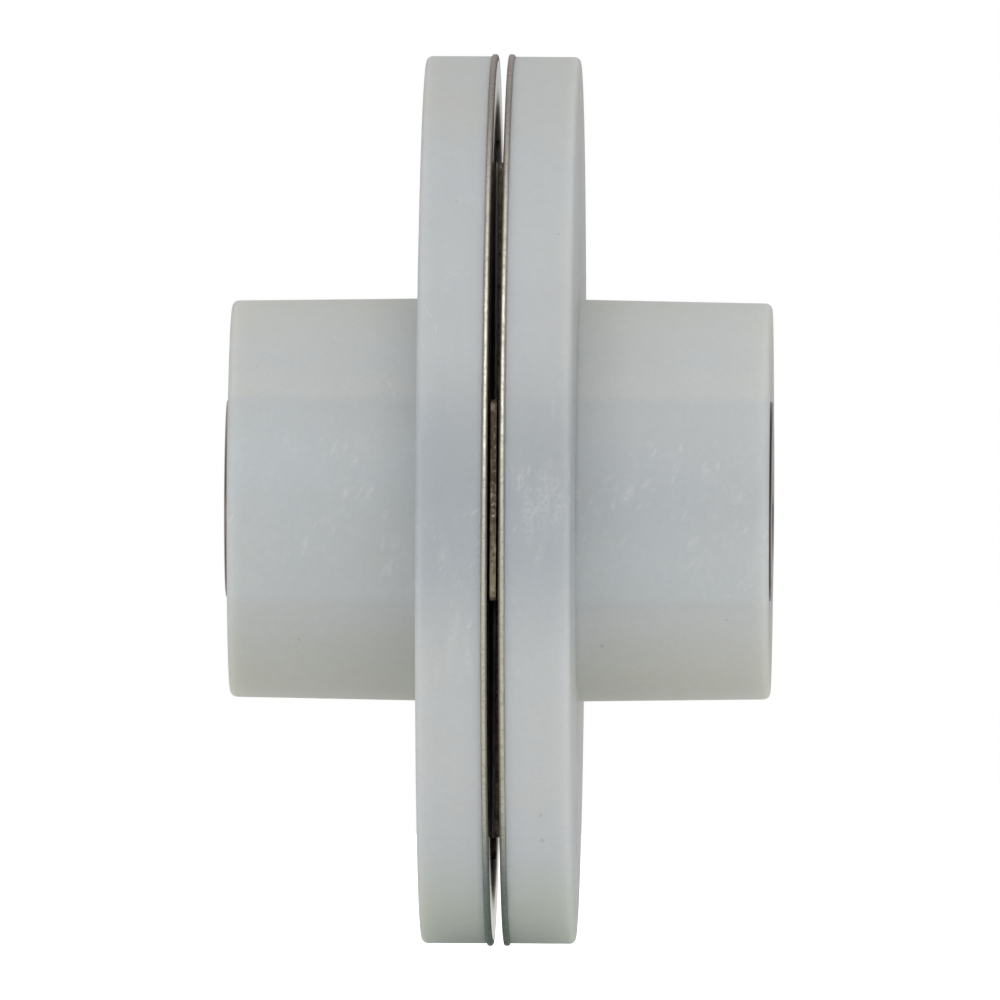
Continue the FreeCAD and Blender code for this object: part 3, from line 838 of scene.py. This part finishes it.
def nylon_body(net, cool, warm):
    """Milky colour, with painted shade: the insert showing through as a shaded band, a veil over the
    flange middle, and shading by height.
    """
    x, y, z = net.xyz
    flange = net.ramp(net.radius, off=10.4, on=14.0)

    # How far the line of sight passes from the shaft axis.
    sight = net.split(net.node("ShaderNodeNewGeometry").outputs["Incoming"])
    moment = net.math("ABSOLUTE", net.sub(net.mul(y, sight[2]), net.mul(z, sight[1])))
    across = net.math("SQRT", net.add(net.mul(sight[1], sight[1]), net.mul(sight[2], sight[2])))
    smallest_across = 0.02    # keeps the division finite along the axis
    miss = net.math("DIVIDE", moment, net.math("MAXIMUM", across, smallest_across))
    side_on = net.ramp(across, off=0.25, on=0.75)
    wobble = net.swing(net.noise(scale=0.9, detail=2.0), amount=0.25)
    # Painted shade: the band where the line of sight passes the insert.
    core = net.ramp(net.add(miss, wobble), off=5.40, on=4.70)
    flange_hides = 0.75       # part of the core band lost in the flange
    core = net.mul(core, net.invert(net.mul(flange, flange_hides)), side_on)
    veil_shade = net.mul(net.ramp(miss, off=8.5, on=2.0), flange, side_on)

    cloud = net.noise(scale=0.12, detail=3.0, rough=0.5, distort=0.4)
    colour = net.lay(cool, warm, net.ramp(cloud, off=0.35, on=0.65), strength=0.38)

    # Hub: painted shade underneath, darker and yellower, and painted warm light slightly on top.
    hub_height_shading = net.mix(net.ramp(z, off=-5.5, on=-10.0), WHITE, (0.965, 0.955, 0.88))
    hub_height_shading = net.mix(net.ramp(z, off=6.8, on=9.6), hub_height_shading, (1.01, 1.0, 0.955))
    colour = net.tint(colour, hub_height_shading, net.invert(flange))
    # Flange: painted warm light at the top, painted greenish floor bounce at the bottom.
    top = net.mix(net.ramp(z, off=15.0, on=20.5), WHITE, (0.985, 0.965, 0.92))
    colour = net.tint(colour, top, flange)
    # Painted floor bounce: greenish tint at the bottom of the flange.
    bottom = net.mix(net.ramp(z, off=-16.8, on=-21.3), WHITE, (0.965, 1.0, 0.885))
    colour = net.tint(colour, bottom, flange)

    # Darker zone about z = 5 on the flanges, stronger on the right; on the right hub a darker, bluer
    # middle about z = 0.8 and a paler underside about z = -7.2, the last painted light from the
    # right.
    right = net.ramp(x, off=-0.2, on=0.2)
    darker_flange_zone = net.mul(net.band(net.sub(z, 5.0), off=8.0, on=4.0),
                    net.mul(flange, net.ramp(right, off=0.0, on=1.0, low=0.7, high=1.0)))
    colour = net.tint(colour, (0.950, 0.950, 0.955), darker_flange_zone)
    darker_hub_middle = net.mul(net.band(net.sub(z, 0.8), off=4.2, on=0.8),
                    net.mul(right, net.invert(flange)))
    colour = net.tint(colour, (0.945, 0.950, 0.965), darker_hub_middle)
    # Painted light: the right hub's underside lightened, as if lit from the right.
    pale = net.mul(net.band(net.add(z, 7.2), off=2.6, on=0.8),
                   net.mul(right, net.invert(flange)))
    colour = net.tint(colour, (1.045, 1.035, 1.035), pale)

    # Clouding and mottle at three finer scales.
    wisps = net.noise(scale=0.75, detail=4.0, rough=0.6, distort=0.8)
    colour = net.lay(colour, scaled(cool, 1.10), net.ramp(wisps, off=0.40, on=0.75),
                     strength=0.16)
    fine = net.noise(scale=7.0, detail=3.0, rough=0.65)
    colour = net.lay(colour, scaled(warm, 0.80), net.ramp(fine, off=0.35, on=0.70),
                     strength=0.10)
    mottle = net.noise(scale=3.4, detail=3.0, rough=0.65)
    mottle = net.mix(net.ramp(mottle, off=0.30, on=0.70),
                     (0.945, 0.945, 0.95), (1.045, 1.045, 1.04))
    colour = net.tint(colour, mottle, mask=0.28)

    # The core band, painted shade lighter below and darker above, and its veil, painted shade over
    # the middle of the flanges.
    shade = net.mix(net.ramp(z, off=-5.5, on=5.5, kind="LINEAR"),
                    (1.035, 1.05, 1.075), (0.915, 0.937, 0.965))
    colour = net.mix(core, colour, shade, "MULTIPLY")
    colour = net.mix(veil_shade, colour, (0.835, 0.855, 0.885), "MULTIPLY")
    # Painted light and shade on the flanges: lighter and bluer at the bottom, darker from the middle
    # up.
    flange_height_shading = net.mix(net.ramp(z, off=-15.0, on=-1.0), (1.045, 1.055, 1.10), (0.925, 0.935, 0.955))
    return net.tint(colour, flange_height_shading, flange)


def nylon_haze(net):
    """Masks of cloudy haze and short slanted nicks, about z = -1.2."""
    z = net.xyz[2]
    slanted = net.node("ShaderNodeVectorRotate", rotation_type="Y_AXIS")
    net.put(slanted.inputs["Vector"], net.stretch(net.mm, WHITE))
    slanted.inputs["Angle"].default_value = math.radians(-28.0)
    lengthened = net.stretch(slanted.outputs[0], (1.0, 1.0, 0.36))
    nicks = net.noise(scale=2.6, detail=1.0, rough=0.4, vector=lengthened)
    nicks = net.ramp(nicks, off=0.665, on=0.76)
    zone = net.mul(net.band(net.add(z, 1.2), off=5.2, on=2.2),
                   net.ramp(net.noise(scale=0.35, detail=2.0), off=0.42, on=0.62))
    haze = net.noise(scale=1.7, detail=5.0, rough=0.72, distort=1.4)
    haze = net.mul(net.ramp(haze, off=0.46, on=0.70), zone)
    return haze, net.mul(nicks, net.ramp(zone, off=0.0, on=0.35, low=0.10, high=1.0))


def nylon_scuffs(net, marks, specks):
    """Masks of the placed scuffs and specks, on the front outer surfaces."""
    x, y, z = net.xyz
    rim = net.ramp(net.radius, off=21.55, on=21.85)
    hub_skin = net.mul(net.ramp(net.radius, off=9.3, on=9.7),
                       net.ramp(net.radius, off=10.6, on=10.2))
    front = net.mul(net.ramp(y, off=-0.5, on=-3.0), net.highest(rim, hub_skin))
    ragged_x = net.add(x, net.swing(net.noise(scale=4.2, detail=2.0, rough=0.6, w=0.4),
                                    amount=0.34))
    ragged_z = net.add(z, net.swing(net.noise(scale=4.2, detail=2.0, rough=0.6, w=5.1),
                                    amount=0.42))
    flecks = [net.mul(fleck(net, ragged_x, ragged_z, *place), strength)
              for *place, strength in marks]
    grain = net.ramp(net.noise(scale=5.0, detail=4.0, rough=0.75), off=0.36, on=0.64)
    scuffs = net.mul(net.highest(*flecks), front, grain)
    spots = [fleck(net, x, z, centre_x, centre_z, 0, radius, radius)
             for centre_x, centre_z, radius in specks]
    return scuffs, net.mul(net.ramp(net.highest(*spots), off=0.0, on=0.5), front)


def nylon_hairlines(net):
    """Mask of long hairline scratches, mostly round the circumference."""
    x, y, z = net.xyz
    angle = net.math("ARCTAN2", z, y)
    # texture frequency along the axis, round it and outwards
    per_x, per_angle, per_radius = 9.0, 2.2, 0.2
    vector = net.combine(net.mul(x, per_x), net.mul(angle, per_angle),
                         net.mul(net.radius, per_radius))
    hairs = net.ramp(net.noise(scale=1.0, detail=3.0, rough=0.75, vector=vector),
                     off=0.66, on=0.74)
    return net.mul(hairs, net.ramp(net.noise(scale=0.5, detail=2.0), off=0.45, on=0.60))


def nylon(name, painted_light_tone, marks, specks):
    """Milky natural nylon, translucent and lightly worn."""
    material = bpy.data.materials.new(name)
    net = new_net(material)
    colour = nylon_body(net, scaled(COOL, painted_light_tone), scaled(WARM, painted_light_tone))
    haze, nicks = nylon_haze(net)
    scuffs, spots = nylon_scuffs(net, marks, specks)
    cells = net.node("ShaderNodeTexVoronoi")
    net.put(cells.inputs["Vector"], net.mm)
    cells.inputs["Scale"].default_value = 0.42
    dust = net.ramp(cells.outputs["Distance"], off=0.030, on=0.018)
    hairs = nylon_hairlines(net)

    colour = net.lay(colour, (0.70, 0.71, 0.70), haze, strength=0.26)
    colour = net.lay(colour, (0.78, 0.78, 0.75), nicks, strength=0.22)
    colour = net.lay(colour, (0.765, 0.762, 0.752), scuffs, strength=0.80)
    colour = net.lay(colour, (0.16, 0.13, 0.10), spots, strength=0.20)
    colour = net.lay(colour, (0.25, 0.21, 0.16), dust, strength=0.14)
    colour = net.lay(colour, (0.85, 0.85, 0.82), hairs, strength=0.12)

    rough = net.plus(0.40, net.noise(scale=1.1, detail=4.0, rough=0.6), amount=0.12)
    rough = net.plus(rough, haze, amount=0.12)
    swell = net.bump(net.noise(scale=0.35, detail=2.0, rough=0.5), depth=0.04, strength=0.30)
    peel = net.bump(net.noise(scale=3.2, detail=3.0, rough=0.6), depth=0.012, strength=0.5,
                    over=swell)
    grain = net.bump(net.noise(scale=14.0, detail=2.0, rough=0.6), depth=0.004, strength=0.5,
                     over=peel)
    nick_height, hair_height = 0.4, 0.30
    cuts = net.add(net.mul(nicks, nick_height), net.mul(hairs, hair_height), scuffs)
    net.principled(Base_Color=colour, Roughness=rough, IOR=1.53,
                   Normal=net.bump(cuts, depth=0.010, strength=0.5, over=grain),
                   Subsurface_Weight=0.85, Subsurface_Scale=0.0016,
                   Subsurface_Radius=(1.0, 0.92, 0.80), Specular_IOR_Level=0.42)
    return material


# ------------------------------------------------------------- steel
# A finish recolours the steel, partly with painted light and shade, and gives a mask of where it is
# burnished, or None.
def plate_rim_finish(net, colour):
    """Painted shade on the edge next to the gap, painted dark and teal reflections on the edge
    towards top and bottom; painted shade on the middle of the flat face, and a burnished outer zone
    on it."""
    x, _, z = net.xyz
    edge = net.ramp(net.radius, off=21.9, on=22.12)
    gap_shade_strength, end_reflection_strength = 0.78, 0.85
    # Painted shade: the edge next to the gap darkened.
    gap_side_shade = net.mul(net.band(x, off=0.415, on=0.345), gap_shade_strength)
    colour = net.mix(net.mul(edge, gap_side_shade), colour, (0.10, 0.085, 0.07))
    # Painted reflection: the edge towards top and bottom takes a dark top and teal bottom.
    ends = net.mul(net.band(z, off=14.5, on=20.0), end_reflection_strength)
    painted_light_tone = net.mix(net.ramp(z, off=-6.0, on=6.0), (0.16, 0.22, 0.22), (0.30, 0.26, 0.24))
    colour = net.mix(net.mul(edge, ends), colour, painted_light_tone)
    # Painted shade: the middle of the face, inside the gap, darkened.
    colour = net.lay(colour, (0.13, 0.11, 0.095), net.ramp(net.radius, off=19.0, on=17.0),
                     strength=0.80)
    return colour, net.mul(net.ramp(net.radius, off=18.9, on=20.9), net.invert(edge))


def browned_shaded_edge_finish(net, colour):
    """Brown oxide on the edge with painted shade over it, darkest above z = 1.5, and painted glints.
    """
    z = net.xyz[2]
    # Partly real brown oxide, partly painted shade of the edge lying deep in the gap.
    rust_and_shade = net.mix(net.ramp(z, off=1.5, on=-5.5), (0.060, 0.042, 0.027), (0.21, 0.19, 0.125))
    edge = net.ramp(net.radius, off=19.5, on=21.3)
    colour = net.lay(colour, rust_and_shade, edge, strength=0.92)
    # Painted highlights: bright glints on the edge.
    glint_specks = net.mul(net.ramp(net.noise(scale=7.0, detail=2.0, rough=0.6), off=0.54, on=0.62),
                     net.band(net.add(z, 0.25), off=1.1, on=0.4))
    patch_strength = 0.45
    patches = net.mul(net.ramp(net.noise(scale=5.0, detail=3.0, rough=0.7, w=1.7),
                               off=0.50, on=0.66), patch_strength)
    glints = net.mul(net.highest(glint_specks, patches), edge)
    return net.lay(colour, (0.50, 0.47, 0.38), glints, strength=0.75), None


def barrel_shade_finish(net, colour):
    """Painted shade on the insert's outer skin, different on each side: dark all round on the right,
    dark below on the left.
    """
    x, _, z = net.xyz
    # Painted shade: darker below on the left, dark all round on the right.
    left = net.mix(net.ramp(z, off=-4.0, on=4.0), (0.10, 0.085, 0.09), (0.46, 0.44, 0.40))
    painted_light_tone = net.mix(net.ramp(x, off=-1.0, on=1.0), left, (0.075, 0.055, 0.065))
    skin = net.ramp(net.radius, off=4.88, on=4.96)
    return net.lay(colour, painted_light_tone, skin, strength=0.93), None


def turned_rings(net):
    """Height of lathe rings, with some chatter."""
    slope, frequency = 1.0, 42.0
    ring_weight, chatter_frequency = 0.5, 9.0
    x = net.xyz[0]
    rings = net.math("SINE", net.mul(net.plus(net.radius, x, amount=slope), frequency))
    chatter = net.noise(scale=3.0, detail=2.0, rough=0.5,
                        vector=net.combine(net.mul(net.radius, chatter_frequency),
                                           net.mul(x, chatter_frequency), 0.0))
    return net.add(net.mul(rings, ring_weight), chatter)


def steel(name, base, dark, rough, stain, turned=0.0, rolled=0.0, speckle=0.0, finish=None):
    """Bare steel: turned rings, rolling grain, stains and pits as asked."""
    material = bpy.data.materials.new(name)
    net = new_net(material)
    blotch = net.noise(scale=0.8, detail=4.0, rough=0.6, distort=0.6)
    fine = net.noise(scale=9.0, detail=4.0, rough=0.7)
    colour = net.lay(base, dark, net.ramp(blotch, off=0.40, on=0.70), strength=stain)
    colour = net.lay(colour, scaled(dark, 0.55), net.ramp(fine, off=0.45, on=0.75),
                     strength=0.25)
    fine_height = 0.5
    height = net.mul(fine, fine_height)
    rough = net.add(rough, net.swing(blotch, amount=0.25))
    burnished = None
    if turned:
        height = net.plus(height, turned_rings(net), amount=turned)
    if rolled:
        lines = net.noise(scale=1.0, detail=4.0, rough=0.7,
                          vector=net.stretch(net.mm, (40.0, 0.5, 26.0)))
        height = net.plus(height, lines, amount=rolled)
        colour = net.lay(colour, dark, net.ramp(lines, off=0.45, on=0.70), strength=0.18)
    if finish:
        colour, burnished = finish(net, colour)
    if speckle:
        grain = net.noise(scale=4.5, detail=3.0, rough=0.75)
        pits = net.ramp(grain, off=0.50, on=0.62)
        colour = net.lay(colour, scaled(dark, 0.35), pits, strength=speckle)
        tips = net.ramp(net.noise(scale=5.5, detail=2.0, rough=0.6, w=3.3), off=0.60, on=0.72)
        colour = net.lay(colour, scaled(base, 1.5), tips, strength=speckle * 0.7)
        height = net.plus(height, grain, amount=1.2)
        rough = net.plus(rough, pits, amount=0.2)
    if burnished:
        flattening, polished_rough = 0.97, 0.10
        height = net.mul(height, net.invert(net.mul(burnished, flattening)))
        rough = net.plus(net.mul(rough, net.invert(burnished)), burnished,
                         amount=polished_rough)
    net.principled(Base_Color=colour, Metallic=1.0, Roughness=rough,
                   Normal=net.bump(height, depth=0.010, strength=0.7))
    return material


# ------------------------------------------------------------- other materials
def black_oxide(name):
    material = bpy.data.materials.new(name)
    net = new_net(material)
    worn = net.ramp(net.noise(scale=5.0, detail=4.0, rough=0.65), off=0.52, on=0.70)
    colour = net.mix(worn, (0.018, 0.018, 0.020), (0.055, 0.050, 0.046))
    colour = net.lay(colour, (0.12, 0.11, 0.10),
                     net.ramp(net.noise(scale=16.0, detail=2.0), off=0.6, on=0.75),
                     strength=0.5)
    rough = net.plus(0.34, net.noise(scale=6.0, detail=3.0), amount=0.2)
    normal = net.bump(net.noise(scale=12.0, detail=4.0, rough=0.7), depth=0.008, strength=0.7)
    net.principled(Base_Color=colour, Metallic=0.75, Roughness=rough, Normal=normal)
    return material


def acetal(name):
    """White plastic with rub marks and fine tool lines."""
    material = bpy.data.materials.new(name)
    net = new_net(material)
    colour = net.mix(net.ramp(net.noise(scale=0.4, detail=3.0), off=0.35, on=0.65),
                     (0.70, 0.70, 0.67), (0.64, 0.635, 0.60))
    rub = net.ramp(net.noise(scale=1.0, detail=3.0, rough=0.7,
                             vector=net.stretch(net.mm, (14.0, 0.6, 0.6))), off=0.58, on=0.72)
    colour = net.lay(colour, (0.45, 0.43, 0.40), rub, strength=0.35)
    line_frequency, line_height = 55.0, 0.3
    lines = net.math("SINE", net.mul(net.xyz[0], line_frequency))
    height = net.add(net.mul(lines, line_height), net.noise(scale=10.0, detail=3.0, rough=0.6))
    net.principled(Base_Color=colour, Roughness=net.plus(0.34, rub, amount=0.2), IOR=1.48,
                   Subsurface_Weight=0.5, Subsurface_Scale=0.0008,
                   Subsurface_Radius=(1.0, 0.9, 0.8),
                   Normal=net.bump(height, depth=0.006, strength=0.6))
    return material


def floor_material():
    """Pale floor that glows, much more to the camera than to the pieces."""
    material = bpy.data.materials.new("pale_floor")
    net = new_net(material)
    grain = net.ramp(net.noise(scale=0.05, detail=3.0, rough=0.5), off=0.3, on=0.7)
    colour = net.mix(grain, (0.90, 0.89, 0.84), (0.88, 0.87, 0.83))
    camera_glow, glow = 0.76, 0.14
    is_camera = net.node("ShaderNodeLightPath").outputs["Is Camera Ray"]
    strength = net.add(net.mul(is_camera, camera_glow), glow)
    diffuse = net.shader("ShaderNodeBsdfDiffuse", colour)
    emission = net.shader("ShaderNodeEmission", (1, 1, 1, 1), strength)
    net.output(net.shader("ShaderNodeAddShader", diffuse, emission))
    return material


# ------------------------------------------------------------- build it all
# The left copy is toned 1.5 % darker, painted shade: the left half gets less of the light from the
# right.
nylons = {
    "left": nylon("natural_nylon_left", painted_light_tone=0.985, marks=LEFT_MARKS, specks=LEFT_SPECKS),
    "right": nylon("natural_nylon_right", painted_light_tone=1.0, marks=RIGHT_MARKS, specks=RIGHT_SPECKS),
}
insert_steel = steel("turned_insert_steel", base=(0.46, 0.44, 0.42), dark=(0.25, 0.22, 0.21),
                     rough=0.32, stain=0.45, turned=0.7, finish=barrel_shade_finish)
plate_steel = steel("face_plate_steel", base=(0.60, 0.575, 0.51), dark=(0.44, 0.40, 0.33),
                    rough=0.40, stain=0.3, rolled=0.25, speckle=0.16, finish=plate_rim_finish)
cross_steel = steel("cross_plate_steel", base=(0.32, 0.28, 0.22), dark=(0.15, 0.12, 0.09),
                    rough=0.42, stain=0.6, rolled=0.4, speckle=0.45, finish=browned_shaded_edge_finish)
rivet_steel = steel("rivet_steel", base=(0.52, 0.50, 0.47), dark=(0.28, 0.25, 0.22),
                    rough=0.32, stain=0.5, speckle=0.25)
screw_steel = black_oxide("black_oxide")
key_acetal = acetal("machined_acetal")


def add_piece(name, mesh, body, node, material, smooth=30.0):
    """Adds a piece that rides on a body and stands in for a CAD node."""
    obj = new_object(name, mesh, smooth)
    obj.data.materials.append(material)
    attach(obj, body)
    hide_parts(node)


# Where the rivets built at +Z and -Z end up.
PLATE_RIVET_PLACES = {"left": ("front", "rear"), "right": ("top", "bottom")}
for side in ("left", "right"):
    body = side + "_half"
    blank = insert_blank(side)
    add_piece(side + "_hub_moulding", to_side(hub(side, blank.copy()), side), body,
              side + "_hub", nylons[side], smooth=28.0)
    add_piece(side + "_insert_turned", to_side(bore_insert(side, blank), side), body,
              side + "_bore_insert", insert_steel)
    add_piece(side + "_plate_sheet", to_side(face_plate(side), side), body,
              side + "_face_plate", plate_steel, smooth=50.0)
    for sign, place in zip((1, -1), PLATE_RIVET_PLACES[side]):
        node = f"{side}_plate_rivet_{place}"
        add_piece(node + "_upset", to_side(plate_rivet(sign), side), body, node,
                  rivet_steel)

screw = set_screw()
for side, sign in (("left", -1), ("right", 1)):
    for name in SCREW_ANGLES:
        direction = screw_direction(name)
        tip = (sign * SCREW_X, direction.y * SCREW_TIP_R, direction.z * SCREW_TIP_R)
        node = f"{side}_set_screw_{name}"
        add_piece(node + "_threaded", along(screw.copy(), direction, tip),
                  f"{side}_screw_{name}", node, screw_steel, smooth=35.0)
screw.free()

add_piece("slider_cross_sheet", drill_slider(cross_plate()), "slider", "slider_cross_plate",
          cross_steel, smooth=40.0)
add_piece("slider_key_right_block", drill_slider(key_block(KEY_HALF_L, KEY_HALF_W)),
          "slider", "slider_key_right", key_acetal)
add_piece("slider_key_left_block", drill_slider(mirror_x(key_block(KEY_HALF_W, KEY_HALF_L))),
          "slider", "slider_key_left", key_acetal)
for node, rivet in KEY_RIVETS.items():
    add_piece(node + "_flush", key_rivet(*rivet), "slider", node, rivet_steel)
add_piece("slider_centre_rivets_flush", merge([key_rivet(*rivet) for rivet in CENTRE_RIVETS]),
          "slider", "slider_centre_rivets", rivet_steel)

# ------------------------------------------------------------- floor
FLOOR_R = 900
FLOOR_CLEARANCE = 0.00112     # metres; clears the right half at the end of its travel

disc = bmesh.new()
disc.faces.new([disc.verts.new((FLOOR_R * math.cos(2 * math.pi * k / 64),
                                FLOOR_R * math.sin(2 * math.pi * k / 64), 0))
                for k in range(64)])
floor = new_object("floor", disc, smooth=None)
floor.location = (0, 0, -PLATE_R * MM - FLOOR_CLEARANCE)
floor.data.materials.append(floor_material())


# ------------------------------------------------------------- world
def build_world():
    """An even tent of light: a little brighter overhead and in front, dimmer
    towards the two ends of the shaft. The camera sees plain white."""
    even, overhead, in_front, end_loss = 0.605, 0.33, 0.13, 0.65
    overhead_power, front_power = 3.0, 4.0
    world = bpy.data.worlds.new("soft_studio")
    bpy.context.scene.world = world
    net = new_net(world)
    x, y, z = net.split(net.node("ShaderNodeTexCoord").outputs["Generated"])
    up = net.math("POWER", net.math("MAXIMUM", z, 0.0), overhead_power)
    front = net.math("POWER", net.math("MAXIMUM", net.mul(y, -1.0), 0.0), front_power)
    tent = net.add(net.add(even, net.mul(overhead, up)), net.mul(in_front, front))
    tent = net.mul(tent, net.invert(net.mul(end_loss, net.mul(x, x))))
    lighting = net.shader("ShaderNodeBackground", (1.0, 1.0, 0.995, 1), tent)
    backdrop = net.shader("ShaderNodeBackground", (1, 1, 1, 1), 1.0)
    is_camera = net.node("ShaderNodeLightPath").outputs["Is Camera Ray"]
    net.output(net.shader("ShaderNodeMixShader", is_camera, lighting, backdrop),
               "ShaderNodeOutputWorld")


build_world()

# ------------------------------------------------------------- lights
# Area lights aimed at the origin: name, place and size in metres, watts, colour
LIGHTS = [
    ("key_front", (0.0, -0.399, 0.186), (0.18, 0.22), 0.335, (1, 1, 1)),
    ("key_high", (0.0, -0.270, 0.345), (0.18, 0.22), 0.20, (1.0, 0.995, 0.98)),
    ("fill_right", (0.40, -0.25, 0.12), (0.20, 0.20), 0.018, (1, 1, 1)),
]
for name, place, size, energy, colour in LIGHTS:
    light = bpy.data.lights.new(name, "AREA")
    light.shape = "RECTANGLE"
    light.size, light.size_y = size
    light.energy = energy
    light.color = colour
    obj = bpy.data.objects.new(name, light)
    bpy.context.scene.collection.objects.link(obj)
    obj.location = place
    obj.visible_camera = False
    obj.rotation_mode = "QUATERNION"
    obj.rotation_quaternion = (-Vector(place)).to_track_quat("-Z", "Y")

# ------------------------------------------------------------- camera
CAMERA_AZIMUTH, CAMERA_ROLL = math.radians(1.10), math.radians(0.33)
CAMERA_DISTANCE = 2.25        # metres
VIEW_WIDTH = 0.050            # metres across at the aim point
AIM_SHIFT = -0.00007          # metres to the camera's right
SENSOR_WIDTH = 36.0

lens = bpy.data.cameras.new("camera")
camera = bpy.data.objects.new("camera", lens)
bpy.context.scene.collection.objects.link(camera)
to_camera = Vector((math.sin(CAMERA_AZIMUTH), -math.cos(CAMERA_AZIMUTH), 0.0))
camera_right = Vector((math.cos(CAMERA_AZIMUTH), math.sin(CAMERA_AZIMUTH), 0.0))
camera.rotation_mode = "QUATERNION"
camera.rotation_quaternion = ((-to_camera).to_track_quat("-Z", "Y")
                              @ Matrix.Rotation(CAMERA_ROLL, 3, "Z").to_quaternion())
camera.location = camera_right * AIM_SHIFT + to_camera * CAMERA_DISTANCE
lens.sensor_width = SENSOR_WIDTH
lens.lens = SENSOR_WIDTH * CAMERA_DISTANCE / VIEW_WIDTH
lens.clip_start, lens.clip_end = 0.02, 20.0
bpy.context.scene.camera = camera
bpy.context.scene.view_settings.view_transform = "Standard"
bpy.context.scene.view_settings.look = "None"
